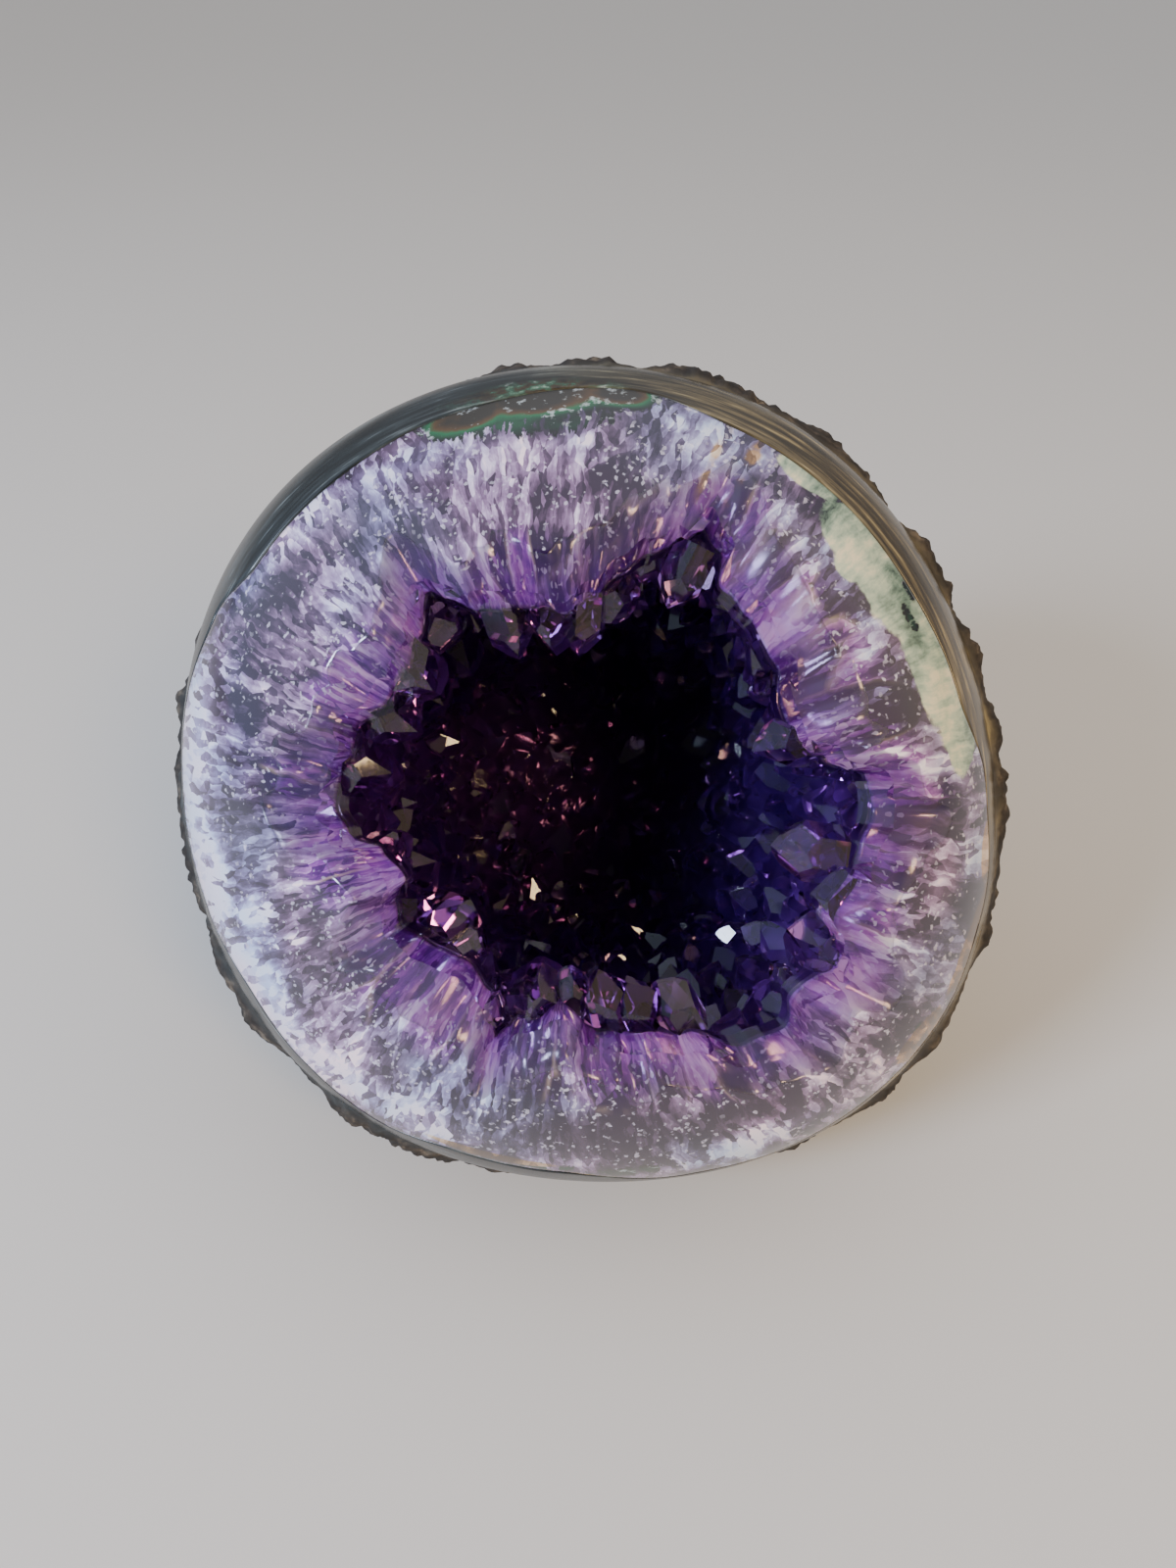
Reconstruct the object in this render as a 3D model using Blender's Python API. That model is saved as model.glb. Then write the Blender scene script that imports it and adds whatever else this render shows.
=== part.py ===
"""An amethyst geode: a small basalt nodule, its front ground to a polished dome round an open hollow.

It has three pieces: the basalt rind, the banded quartz wall inside it, and the crust of amethyst points
that lines the hollow. The nodule rests on a flat spot ground under it, with its face leaning back.

Everything is shaped in the face's own frame: u to the right, v up along the face and w out of the face,
from a centre inside the hollow. A direction there has an angle from the axis w, and a clock angle that
runs anticlockwise from u, as seen from the front.
"""

import math
import random

import bmesh
import bpy
from mathutils import Matrix, Vector, noise

# The nodule: metres, and degrees for angles
MEAN_RADIUS = 0.0497
RADIUS_WAVES = ((2, -0.021, 0), (3, -0.0105, 0), (4, -0.0114, 52))  # lobes, share of the radius, phase
DOME_DEPTH = 0.033
BACK_DEPTH = 0.043
BACK_FULLNESS = 2.3
FOOT_SWELL = 0.0030
FOOT_WAY = (139, 270)  # the angle and clock angle of the swelling that the nodule stands on
FOOT_SPREAD = 50.0  # degrees
FACE_TILT = 34.5
CENTRE = Vector((0.0, -0.0048, 0.0466))  # the face frame's centre, over the rest plane z = 0

# Curves on the polished dome, as (clock angle, distance from the axis)
MOUTH = (
    (2, 0.0305), (14, 0.0262), (24, 0.0236), (38, 0.0248), (52, 0.0260), (66, 0.0305), (75, 0.0262),
    (84, 0.0212), (93, 0.0190), (108, 0.0200), (121, 0.0240), (129, 0.0252), (140, 0.0206),
    (151, 0.0200), (165, 0.0220), (181, 0.0234), (193, 0.0205), (205, 0.0176), (216, 0.0203),
    (230, 0.0192), (242, 0.0190), (254, 0.0240), (266, 0.0204), (276, 0.0214), (290, 0.0234),
    (303, 0.0272), (315, 0.0316), (324, 0.0298), (333, 0.0306), (343, 0.0280), (352, 0.0290),
)
QUARTZ_EDGE = (
    (4, 0.0451), (18, 0.0425), (36, 0.0419), (53, 0.0422), (68, 0.0425), (85, 0.0439), (109, 0.0428),
    (130, 0.0422), (146, 0.0422), (156, 0.0446), (170, 0.0462), (185, 0.0458), (200, 0.0445),
    (214, 0.0428), (227, 0.0434), (241, 0.0440), (254, 0.0422), (270, 0.0424), (289, 0.0457),
    (305, 0.0476), (330, 0.0486), (347, 0.0472),
)
# Where the polish stops and the rough skin starts, as (clock angle, height w)
POLISH_EDGE = (
    (0, 0.0080), (30, 0.0055), (60, 0.0050), (90, 0.0050), (105, 0.0020), (120, 0.0010), (150, 0.0010),
    (170, 0.0060), (190, 0.0095), (215, 0.0105), (240, 0.0105), (255, 0.0060), (270, 0.0020),
    (290, 0.0030), (310, 0.0065), (335, 0.0085),
)

# The layers
RIND_THICKNESS = 0.0055
RIND_WEDGE = 18.0  # degrees behind the quartz's edge over which the rind reaches its thickness
GAP = 0.00035
SKIN_STEP = 0.0002
LUMP_HEIGHT = 0.0015
LUMP_SIZE = 0.0110
LUMP_NARROWING = 1.6  # a lump ends at 0.8 of its size from its middle
PIT_DEPTH = 0.0012
PIT_SIZE = 0.0095
LEDGE = 1.5  # degrees between the end of the polish and the skin's ledge

# The hollow, before its crust
MOUTH_CRUST = 0.0050
HOLLOW_RADIUS = 0.0325
HOLLOW_DEPTH = 0.0300
HOLLOW_SHOULDER = 45.0  # degrees behind the mouth over which the hollow widens
MOUND_HEIGHT = 0.0016
MOUND_SIZE = 0.017

# The crystals
CRUST_BASE = 0.0016
LIP_BASE = 0.0036
LIP_TAPER = 14.0  # degrees behind the mouth over which the crust's base thins
LIP_CRYSTALS = 25
LIP_SHIFT = 0.2  # of the distance from one lip crystal to the next
LIP_SETBACK = (2, 7)  # degrees behind the mouth
LIP_WIDTH = (0.0052, 0.0088)
LIP_LEAN = 0.35  # how far the lip's crystals lean back into the hollow, to 1 towards its middle
WALL_CRYSTALS = 138  # over a whole ball, so fewer stand in the hollow
WALL_WIDTH = (0.0082, 0.0120)
WALL_SHIFT = 0.0016
CRYSTAL_SHAFT = (0.0, 0.0024)
CRYSTAL_LEAN = 22.0
GOLDEN_TURN = 137.508  # degrees
TIP_SLOPE = 51.8  # degrees between a quartz tip's faces and the crystal's cross-section
TIP_UNEVENNESS = (0.02, 0.22)  # how far every second face of a tip stands out, as a share of its height
TIP_ROOM = 1.6  # a crystal is cut from a prism with this many tip heights above its shaft
CAP_RISE = 0.004  # how far the open space reaches past the dome, so that it cuts through
NORMAL_STEP = 0.02  # radians
SEED = 11

AROUND = 40
BACK_ROWS = 5
FACE_ROWS = 4
BAND_ROWS = 2
SKIN_ROWS = 14
HOLLOW_ROWS = 5
CAP_ROWS = 3
FULL_RING = 0.45  # the sine of the angle from the axis beyond which a ring keeps all its points

TILT = math.radians(FACE_TILT)
FACE_FRAME = Matrix((
    (1, 0, 0),
    (0, math.sin(TILT), -math.cos(TILT)),
    (0, math.cos(TILT), math.sin(TILT)),
))


def smoothstep(x):
    """0 below 0, 1 above 1 and a smooth turn between them."""
    x = min(1.0, max(0.0, x))
    return x * x * (3 - 2 * x)


def around(points, clock):
    """The value at a clock angle in radians of a closed curve given by (degrees, value) points."""
    angle = math.degrees(clock) % 360
    for (start, first), (end, second) in zip(points, points[1:] + ((points[0][0] + 360, points[0][1]),)):
        if angle < points[0][0]:
            angle += 360
        if start <= angle <= end:
            return first + (second - first) * smoothstep((angle - start) / (end - start))
    return points[0][1]


def direction(angle, clock):
    """The unit vector at an angle from the axis w and a clock angle, in the face's frame."""
    return Vector((math.sin(angle) * math.cos(clock), math.sin(angle) * math.sin(clock), math.cos(angle)))


def placed_way(way):
    """A direction of the face's frame in the world."""
    return FACE_FRAME @ way


def placed(point):
    """A point of the face's frame in the world."""
    return CENTRE + placed_way(point)


def equator(clock):
    """The nodule's radius at its widest, which isn't quite round."""
    waves = (share * math.sin(lobes * clock + math.radians(phase)) for lobes, share, phase in RADIUS_WAVES)
    return MEAN_RADIUS * (1 + sum(waves))


def form(angle, clock):
    """The smooth nodule: a half ellipsoid in front, which is the polished dome, and a fuller one behind.

    It swells where it stands, so that the flat spot is under its weight.
    """
    front = math.cos(angle) > 0
    depth, power = (DOME_DEPTH, 2.0) if front else (BACK_DEPTH, BACK_FULLNESS)
    across = (math.sin(angle) / equator(clock)) ** power
    along = (abs(math.cos(angle)) / depth) ** power
    off_foot = direction(angle, clock).angle(direction(*map(math.radians, FOOT_WAY)))
    swell = FOOT_SWELL * smoothstep(1 - off_foot / math.radians(FOOT_SPREAD))
    return (across + along) ** (-1 / power) + swell


def angle_at_radius(radius, clock):
    """The angle from the axis of the dome's point at that distance from the axis."""
    return math.atan2(radius, DOME_DEPTH * math.sqrt(1 - (radius / equator(clock)) ** 2))


def quartz_angle(clock):
    """Where the quartz wall's polished face ends and the rind's begins."""
    return angle_at_radius(around(QUARTZ_EDGE, clock), clock)


def polish_angle(clock):
    """Where the polished band ends."""
    height = around(POLISH_EDGE, clock)
    radius = equator(clock) * math.sqrt(1 - (height / DOME_DEPTH) ** 2)
    return math.atan2(radius, height)


def ledge_angle(clock):
    """Where the rough skin begins, a ledge's width behind the polish."""
    return polish_angle(clock) + math.radians(LEDGE)


def mouth_angle(clock):
    """Where the wall's polished face meets the hollow, behind the crust's own thickness."""
    return angle_at_radius(around(MOUTH, clock) + MOUTH_CRUST, clock)


def rind_depth(angle, clock):
    """How far below the nodule's form the rind meets the quartz, from nothing at the polished edge."""
    share = (angle - quartz_angle(clock)) / math.radians(RIND_WEDGE)
    return RIND_THICKNESS * (1 - (1 - min(1.0, max(0.0, share))) ** 2)


def skin_relief(way):
    """The rough skin's knobs and pits, as a height over the nodule's form, in one direction."""
    place = way * MEAN_RADIUS
    near = noise.voronoi(place / LUMP_SIZE)[0][0]
    knobs = max(0.0, 1 - LUMP_NARROWING * near * near)
    pits = noise.noise(place / PIT_SIZE)
    return SKIN_STEP + LUMP_HEIGHT * knobs - PIT_DEPTH * pits


def hollow_radius(angle, clock):
    """The wall of the hollow, which widens behind the mouth and has low mounds."""
    mouth = mouth_angle(clock)
    rim = form(mouth, clock)
    deep = 1 / math.hypot(math.sin(angle) / HOLLOW_RADIUS, math.cos(angle) / HOLLOW_DEPTH)
    behind = smoothstep((angle - mouth) / math.radians(HOLLOW_SHOULDER))
    mounds = MOUND_HEIGHT * noise.noise(direction(angle, clock) * HOLLOW_RADIUS / MOUND_SIZE)
    return rim + (deep - rim) * behind + mounds * behind


def base_depth(angle, clock):
    """The thickness of the crust's base, without its crystals: more at the mouth's lip."""
    share = smoothstep((angle - mouth_angle(clock)) / math.radians(LIP_TAPER))
    return LIP_BASE + (CRUST_BASE - LIP_BASE) * share


def ring(start, end, share, radius, hidden=False):
    """A ring of points a share of the way between two angles, each a function of the clock angle.

    It has half the points on the hidden side of a piece, and again where it is small.
    """
    middle = start(0) + (end(0) - start(0)) * share
    count = AROUND // (2 if hidden else 1) // (1 if math.sin(middle) > FULL_RING else 2)
    points = []
    for step in range(count):
        clock = 2 * math.pi * step / count
        angle = start(clock) + (end(clock) - start(clock)) * share
        points.append(placed(direction(angle, clock) * radius(angle, clock)))
    return points


def back(_clock):
    """The angle of the nodule's back pole."""
    return math.pi


def front(_clock):
    """The angle of the nodule's front pole."""
    return 0.0


def bridge(body, row, following):
    """Fills between two rings. One may have a whole number of times the other's points, or be one point."""
    few, many = sorted((row, following), key=len)
    times = len(many) // len(few)
    for step, corner in enumerate(few):
        fan = [many[(step * times + turn) % len(many)] for turn in range(times + 1)]
        for one, other in zip(fan, fan[1:]):
            body.faces.new((corner, one, other))
        if len(few) > 1:
            body.faces.new((corner, fan[-1], few[(step + 1) % len(few)]))


def closed_body(name, first_pole, rings, last_pole):
    """One closed mesh object through rings of points, with a point at each end."""
    body = bmesh.new()
    rows = [[body.verts.new(point) for point in points] for points in [[first_pole], *rings, [last_pole]]]
    for row, following in zip(rows, rows[1:]):
        bridge(body, row, following)
    body.normal_update()
    bmesh.ops.recalc_face_normals(body, faces=body.faces)
    mesh = bpy.data.meshes.new(name)
    body.to_mesh(mesh)
    body.free()
    piece = bpy.data.objects.new(name, mesh)
    bpy.context.scene.collection.objects.link(piece)
    return piece


def shares(rows, first=0):
    """Even steps up to 1, from the step numbered first."""
    return [step / rows for step in range(first, rows + 1)]


def make_helper(piece):
    """A cutter or guide, which isn't part of the object."""
    piece.hide_render = True
    piece.display_type = "WIRE"
    return piece


def cut(piece, helper, operation, overlapping=False):
    """Adds a Boolean. overlapping says that the helper is made of pieces that run into each other."""
    modifier = piece.modifiers.new(helper.name, "BOOLEAN")
    modifier.operation = operation
    modifier.object = helper
    modifier.solver = "EXACT"
    modifier.use_self = overlapping


def finish(piece, colour, roughness, transmission=0.0):
    """Gives a piece its own material."""
    material = bpy.data.materials.new(piece.name)
    material.use_nodes = True
    shader = material.node_tree.nodes["Principled BSDF"]
    shader.inputs["Base Color"].default_value = (*colour, 1.0)
    shader.inputs["Roughness"].default_value = roughness
    shader.inputs["Metallic"].default_value = 0.0
    shader.inputs["Transmission Weight"].default_value = transmission
    piece.data.materials.append(material)


def make_bench():
    """The grinding plane: a block whose top cuts the flat spot under the nodule."""
    side = 6 * MEAN_RADIUS
    bpy.ops.mesh.primitive_cube_add(size=side, location=(0, 0, -side / 2))
    bench = bpy.context.object
    bench.name = "grinding_bench"
    return make_helper(bench)


def make_rind(bench):
    """The basalt rind: a polished band behind the quartz's edge, then the rough skin, hollow inside."""
    def tip(clock):
        return quartz_angle(clock) + GAP / MEAN_RADIUS

    def skin(angle, clock):
        return form(angle, clock) + skin_relief(direction(angle, clock))

    def inner(angle, clock):
        return form(angle, clock) - rind_depth(angle - GAP / MEAN_RADIUS, clock)

    inner_rings = [ring(back, tip, share, inner, hidden=True) for share in shares(BACK_ROWS, 1)[:-1]]
    band_rings = [ring(tip, polish_angle, share, form) for share in shares(BAND_ROWS)]
    skin_rings = [ring(ledge_angle, back, share, skin) for share in shares(SKIN_ROWS)[:-1]]
    behind = direction(math.pi, 0)
    rind = closed_body(
        "basalt_rind",
        placed(behind * inner(math.pi, 0)),
        inner_rings + band_rings + skin_rings,
        placed(behind * skin(math.pi, 0)),
    )
    cut(rind, bench, "DIFFERENCE")
    finish(rind, (0.075, 0.075, 0.062), 0.7)


def make_wall():
    """The quartz wall: its outside against the rind, its polished dome, and the wall of the hollow."""
    def outer(angle, clock):
        return form(angle, clock) - rind_depth(angle - GAP / MEAN_RADIUS, clock) - GAP

    outer_rings = [ring(back, quartz_angle, share, outer, hidden=True) for share in shares(BACK_ROWS, 1)[:-1]]
    face_rings = [ring(quartz_angle, mouth_angle, share, form) for share in shares(FACE_ROWS)]
    hollow_rings = [
        ring(mouth_angle, back, share, hollow_radius, hidden=True) for share in shares(HOLLOW_ROWS, 1)[:-1]
    ]
    behind = direction(math.pi, 0)
    wall = closed_body(
        "quartz_wall",
        placed(behind * outer(math.pi, 0)),
        outer_rings + face_rings + hollow_rings,
        placed(behind * hollow_radius(math.pi, 0)),
    )
    finish(wall, (0.62, 0.56, 0.68), 0.12)


def hollow_form(name, base, proud):
    """The hollow as a closed solid, with the crust's base taken off its wall, and a cap proud of the dome."""
    def inset(angle, clock):
        return GAP + base * base_depth(angle, clock)

    def wall(angle, clock):
        return hollow_radius(angle, clock) - inset(angle, clock)

    def rim(clock):
        mouth = mouth_angle(clock)
        return mouth - inset(mouth, clock) / form(mouth, clock)

    def cap(angle, clock):
        return form(angle, clock) + proud

    cap_rings = [ring(front, rim, share, cap) for share in shares(CAP_ROWS, 1)]
    wall_rings = [ring(rim, back, share, wall, hidden=True) for share in shares(HOLLOW_ROWS, 1)[:-1]]
    return closed_body(
        name,
        placed(direction(0, 0) * cap(0, 0)),
        cap_rings + wall_rings,
        placed(direction(math.pi, 0) * wall(math.pi, 0)),
    )


def add_crystal(crystals, root, axis, width, shaft, draw):
    """One six-sided quartz point standing on root along axis: its shaft, cut by the six faces of its tip."""
    tip = width / 2 * math.tan(math.radians(TIP_SLOPE))
    length = CRUST_BASE + shaft + TIP_ROOM * tip
    crystal = bmesh.new()
    corner = width / 2 / math.cos(math.pi / 6)
    bmesh.ops.create_cone(
        crystal, cap_ends=True, segments=6, radius1=corner, radius2=corner, depth=length
    )
    bmesh.ops.translate(crystal, verts=crystal.verts, vec=(0, 0, length / 2))
    slope = math.radians(TIP_SLOPE)
    for face in range(6):
        turn = math.radians(30 + 60 * face)
        outwards = Vector((
            math.cos(turn) * math.sin(slope), math.sin(turn) * math.sin(slope), math.cos(slope)
        ))
        apex = CRUST_BASE + shaft + tip * (1 + (face % 2) * draw.uniform(*TIP_UNEVENNESS))
        made = bmesh.ops.bisect_plane(
            crystal, geom=crystal.verts[:] + crystal.edges[:] + crystal.faces[:], dist=1e-7,
            plane_co=(0, 0, apex), plane_no=outwards, clear_outer=True,
        )
        rim = [item for item in made["geom_cut"] if isinstance(item, bmesh.types.BMEdge)]
        if rim:
            bmesh.ops.contextual_create(crystal, geom=rim)
    spin = Matrix.Rotation(draw.uniform(0, math.pi / 3), 4, "Z")
    stand = axis.to_track_quat("Z", "Y").to_matrix().to_4x4()
    crystal.transform(Matrix.Translation(root) @ stand @ spin)
    crystal.normal_update()
    bmesh.ops.recalc_face_normals(crystal, faces=crystal.faces)
    loose = bpy.data.meshes.new("crystal")
    crystal.to_mesh(loose)
    crystal.free()
    crystals.from_mesh(loose)
    bpy.data.meshes.remove(loose)


def wall_frame(angle, clock):
    """A point of the hollow's wall in the world, with the wall's normal into the hollow."""
    step = NORMAL_STEP

    def point(more_angle, more_clock):
        at, turn = angle + more_angle, clock + more_clock
        return placed(direction(at, turn) * (hollow_radius(at, turn) - GAP - CRUST_BASE / 2))

    along = point(step, 0) - point(-step, 0)
    across = point(0, step) - point(0, -step)
    normal = along.cross(across).normalized()
    here = point(0, 0)
    return here, normal if normal.dot(CENTRE - here) > 0 else -normal


def make_crystals():
    """The amethyst points: one row along the mouth's lip, and the rest spread evenly over the wall."""
    draw = random.Random(SEED)
    crystals = bmesh.new()

    def grow(angle, clock, width, shaft, into=0.0):
        root, normal = wall_frame(angle, clock)
        lean = Vector([draw.gauss(0, math.radians(CRYSTAL_LEAN) / 2) for _ in range(3)])
        axis = normal + lean - into * placed_way(Vector((0, 0, 1)))
        add_crystal(crystals, root, axis.normalized(), width, shaft, draw)

    for step in range(LIP_CRYSTALS):
        clock = 2 * math.pi * (step + draw.uniform(-LIP_SHIFT, LIP_SHIFT)) / LIP_CRYSTALS
        behind = mouth_angle(clock) + math.radians(draw.uniform(*LIP_SETBACK))
        grow(behind, clock, draw.uniform(*LIP_WIDTH), LIP_BASE - CRUST_BASE / 2, LIP_LEAN)
    for step in range(WALL_CRYSTALS):
        height = 1 - 2 * (step + 0.5) / WALL_CRYSTALS
        angle = math.acos(height) + draw.uniform(-1, 1) * WALL_SHIFT / HOLLOW_RADIUS
        clock = math.radians(GOLDEN_TURN * step) + draw.uniform(-1, 1) * WALL_SHIFT / HOLLOW_RADIUS
        width = draw.triangular(*WALL_WIDTH, WALL_WIDTH[0])
        if angle > mouth_angle(clock) + LIP_WIDTH[1] / MEAN_RADIUS:
            grow(angle, clock, width, draw.uniform(*CRYSTAL_SHAFT))
    mesh = bpy.data.meshes.new("crystal_points")
    crystals.to_mesh(mesh)
    crystals.free()
    points = bpy.data.objects.new("crystal_points", mesh)
    bpy.context.scene.collection.objects.link(points)
    return make_helper(points)


def keep_largest(piece):
    """Applies a piece's Booleans and keeps only its largest body."""
    bpy.context.view_layer.update()
    graph = bpy.context.evaluated_depsgraph_get()
    made = bmesh.new()
    made.from_mesh(piece.evaluated_get(graph).data)
    left = set(made.verts)
    bodies = []
    while left:
        body, edge = set(), [left.pop()]
        while edge:
            vertex = edge.pop()
            body.add(vertex)
            near = {side.other_vert(vertex) for side in vertex.link_edges} & left
            left -= near
            edge += near
        bodies.append(body)
    largest = max(bodies, key=len)
    bmesh.ops.delete(made, geom=[vertex for vertex in made.verts if vertex not in largest], context="VERTS")
    piece.modifiers.clear()
    made.to_mesh(piece.data)
    made.free()


def make_crust():
    """The amethyst crust: the hollow's form less the open space, which is what the crystals leave free.

    A pocket that the crystals close off from the hollow is left solid.
    """
    space = make_helper(hollow_form("open_space", 1, CAP_RISE))
    cut(space, make_crystals(), "DIFFERENCE", overlapping=True)
    keep_largest(space)
    crust = hollow_form("amethyst_crust", 0, 0.0)
    cut(crust, space, "DIFFERENCE")
    finish(crust, (0.12, 0.03, 0.24), 0.08, transmission=0.8)


for old in list(bpy.data.objects):
    bpy.data.objects.remove(old)
make_rind(make_bench())
make_wall()
make_crust()
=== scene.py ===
"""An amethyst geode: a small basalt nodule whose front is ground to a polished dome round an open hollow.

Shapes follow the solids' own rules, in the face's frame: u to the right, v up along the face and w out of
it, from a centre inside the hollow. A direction has an angle from the axis w, and a clock angle that runs
anticlockwise from u, as seen from the front. Lengths are in metres.
"""

import math
import random

import bmesh
import bpy
from mathutils import Matrix, Vector, noise


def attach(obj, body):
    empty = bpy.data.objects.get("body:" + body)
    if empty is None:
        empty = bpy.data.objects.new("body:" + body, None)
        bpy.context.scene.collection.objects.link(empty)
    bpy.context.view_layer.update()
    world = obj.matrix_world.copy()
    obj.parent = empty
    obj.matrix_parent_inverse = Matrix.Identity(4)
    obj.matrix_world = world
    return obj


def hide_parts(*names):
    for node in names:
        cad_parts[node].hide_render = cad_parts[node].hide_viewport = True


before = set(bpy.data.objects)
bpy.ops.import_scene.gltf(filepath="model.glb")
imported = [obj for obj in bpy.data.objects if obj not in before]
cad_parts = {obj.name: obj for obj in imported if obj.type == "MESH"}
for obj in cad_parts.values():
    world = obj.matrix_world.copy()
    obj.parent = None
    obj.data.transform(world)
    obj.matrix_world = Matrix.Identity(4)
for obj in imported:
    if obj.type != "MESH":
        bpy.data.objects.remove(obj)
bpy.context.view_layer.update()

# All that is drawn at random comes from this seed, the noise that moves the knobs too
SEED = 23
noise.seed_set(SEED)

# The nodule, as the solids have it
MEAN_RADIUS = 0.0497
RADIUS_WAVES = ((2, -0.021, 0), (3, -0.0105, 0), (4, -0.0114, 52))
DOME_DEPTH = 0.033
BACK_DEPTH = 0.043
BACK_FULLNESS = 2.3
FOOT_SWELL = 0.0030
FOOT_WAY = (139, 270)
FOOT_SPREAD = 50.0
FACE_TILT = 34.5
CENTRE = Vector((0.0, -0.0048, 0.0466))
RIND_THICKNESS = 0.0055
RIND_WEDGE = 18.0
HOLLOW_RADIUS = 0.0145  # and half of the mouth's own radius there
HOLLOW_DEPTH = 0.0300
HOLLOW_SHOULDER = 45.0
MOUND_HEIGHT = 0.0018
MOUND_SIZE = 0.017
WALL_RADIUS = 0.0325  # the hollow's usual radius, for its mounds

# Curves on the polished dome, as (clock angle, distance from the axis)
MOUTH = (
    (2, 0.0305), (9, 0.0298), (14, 0.0260), (20, 0.0233), (28, 0.0233), (37, 0.0247), (49, 0.0257),
    (57, 0.0264), (62, 0.0295), (67, 0.0308), (70, 0.0284), (75, 0.0263), (80, 0.0238), (85, 0.0209),
    (92, 0.0188), (100, 0.0196), (108, 0.0200), (116, 0.0209), (121, 0.0237), (125, 0.0257),
    (133, 0.0222), (142, 0.0203), (152, 0.0200), (161, 0.0219), (166, 0.0220), (174, 0.0228),
    (182, 0.0233), (190, 0.0219), (195, 0.0186), (206, 0.0172), (211, 0.0196), (218, 0.0206),
    (226, 0.0191), (239, 0.0180), (250, 0.0200), (255, 0.0250), (261, 0.0210), (271, 0.0193),
    (281, 0.0230), (290, 0.0234), (300, 0.0258), (309, 0.0306), (317, 0.0318), (323, 0.0297),
    (332, 0.0308), (341, 0.0278), (349, 0.0289), (355, 0.0295),
)
QUARTZ_EDGE = (
    (4, 0.0451), (18, 0.0425), (36, 0.0419), (53, 0.0422), (68, 0.0425), (85, 0.0439), (109, 0.0428),
    (130, 0.0422), (146, 0.0422), (156, 0.0446), (170, 0.0462), (185, 0.0458), (200, 0.0445),
    (214, 0.0428), (227, 0.0434), (241, 0.0440), (254, 0.0422), (270, 0.0424), (289, 0.0457),
    (305, 0.0476), (330, 0.0486), (347, 0.0472),
)
# Where the polish stops and the rough skin starts, as (clock angle, height w)
POLISH_EDGE = (
    (0, 0.0080), (30, 0.0055), (60, 0.0050), (90, 0.0050), (105, 0.0020), (120, 0.0010), (150, 0.0010),
    (170, 0.0060), (190, 0.0095), (215, 0.0105), (240, 0.0105), (255, 0.0060), (270, 0.0020),
    (290, 0.0030), (310, 0.0065), (335, 0.0085),
)
POLISH_STEPS = 0.0009
ROUND_WAVES = 9  # how quickly a noise changes on the way round
GOLD_AND_WARM_LIGHT_WAY = 10  # the clock angle at which the polished band is most golden, partly with painted warm light

# The rough skin: broad lumps, then the knobs of 1.2 to 2 mm that cover it
LUMP_SIZE = 0.0110
LUMP_HEIGHT = 0.0013
KNOB_SIZE = 0.0017
KNOB_HEIGHT = 0.0010
KNOB_WANDER = 0.0006
WANDER_SIZE = 0.003
CLUSTER_SIZE = 0.0060
SWELL_SIZE = 0.0055
SWELL_HEIGHT = 0.0006
GRIT_SIZE = 0.0009
GRIT_HEIGHT = 0.00025
SKIN_DROP = 0.0003
SKIN_START = 1.2  # degrees over which the skin rises behind the polish

# The crust of crystals. At the mouth it is a wedge of clear violet quartz over the cloudy quartz
CLEAR_WIDTH = 0.0044  # from above the lip out to where the cloudy quartz reaches the dome
CLEAR_RAGGED = 0.0020
COLUMN_SIZE = 0.0034
COLUMN_RADIUS = 0.030  # where the columns have that size
CLOUDY_LEAST = 0.0015  # what stays cloudy next to the rind
LIP_WIDTH = 0.0005  # from the mouth's outline to the lip of the cloudy quartz, deep below the dome
EDGE_WIDTH = 0.0012
WEDGE_DEPTH = 0.0032
BULB_SIZE = 0.0048
BULB_HEIGHT = 0.0009
CRUST_BASE = 0.0012
CRUST_SINK = 0.0004  # how far the crust's back is let into the quartz
QUARTZ_GAP = 0.0001  # between the quartz's back and the rind
SPACE_OVER = 0.004  # how far the hollow's open space reaches past the dome

# The crystals. A pair is the least and the most of what a crystal may have. The wall's starts and spreads
# are in radians, and other angles in degrees
TIP_SLOPE = 51.8
TIP_UNEVENNESS = (0.02, 0.45)
TIP_ROOM = 1.7  # times a tip's height, for the uneven faces of its tip
TIP_SHARE = 0.6  # how far a tip stands over its shaft, in widths
SHARP_EDGE = 9.0
NORMAL_STEP = 0.02
CRYSTAL_LEAN = 22.0
GOLDEN_TURN = 137.508
ROW_SPREAD = 0.3  # how far a crystal may stand from its even place in a row, in steps
EDGE_CRYSTALS = 52
EDGE_BEHIND = 1.2
EDGE_TILTS = (-0.7, -0.05)
EDGE_LEAN = 0.16
EDGE_DEPTHS = (0.0014, 0.0034)
EDGE_WIDTHS = (0.0024, 0.0044)
EDGE_BURIED = 0.0020
EDGE_SHAFT = 0.0004
FREE_SHAFT = 0.004
LIP_CRYSTALS = 46
LIP_BEHIND = (2, 7)
LIP_WIDTHS = (0.0030, 0.0054)
LIP_SHAFTS = (0.0010, 0.0026)
LIP_INTO = 0.30
WALL_CRYSTALS = 620
WALL_SPREAD = 0.045
WALL_WIDTHS = (0.0028, 0.0074, 0.0040)  # least, most and most usual
WALL_SHAFTS = (0.0008, 0.0034)
WALL_START = 0.10
SMALL_CRYSTALS = 300
SMALL_SPREAD = 0.06
SMALL_WIDTHS = (0.0018, 0.0032)
SMALL_SHAFTS = (0.0014, 0.0040)
SMALL_START = 0.06

AROUND = 640  # points on the way round the rind
FACE_AROUND = 480  # and round the dome and the mouth
GRAIN_RADIUS = 0.04  # of the circle round which the grain of the quartz and the basalt is laid out

TILT = math.radians(FACE_TILT)
FACE_FRAME = Matrix((
    (1, 0, 0),
    (0, math.sin(TILT), -math.cos(TILT)),
    (0, math.cos(TILT), math.sin(TILT)),
))


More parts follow.
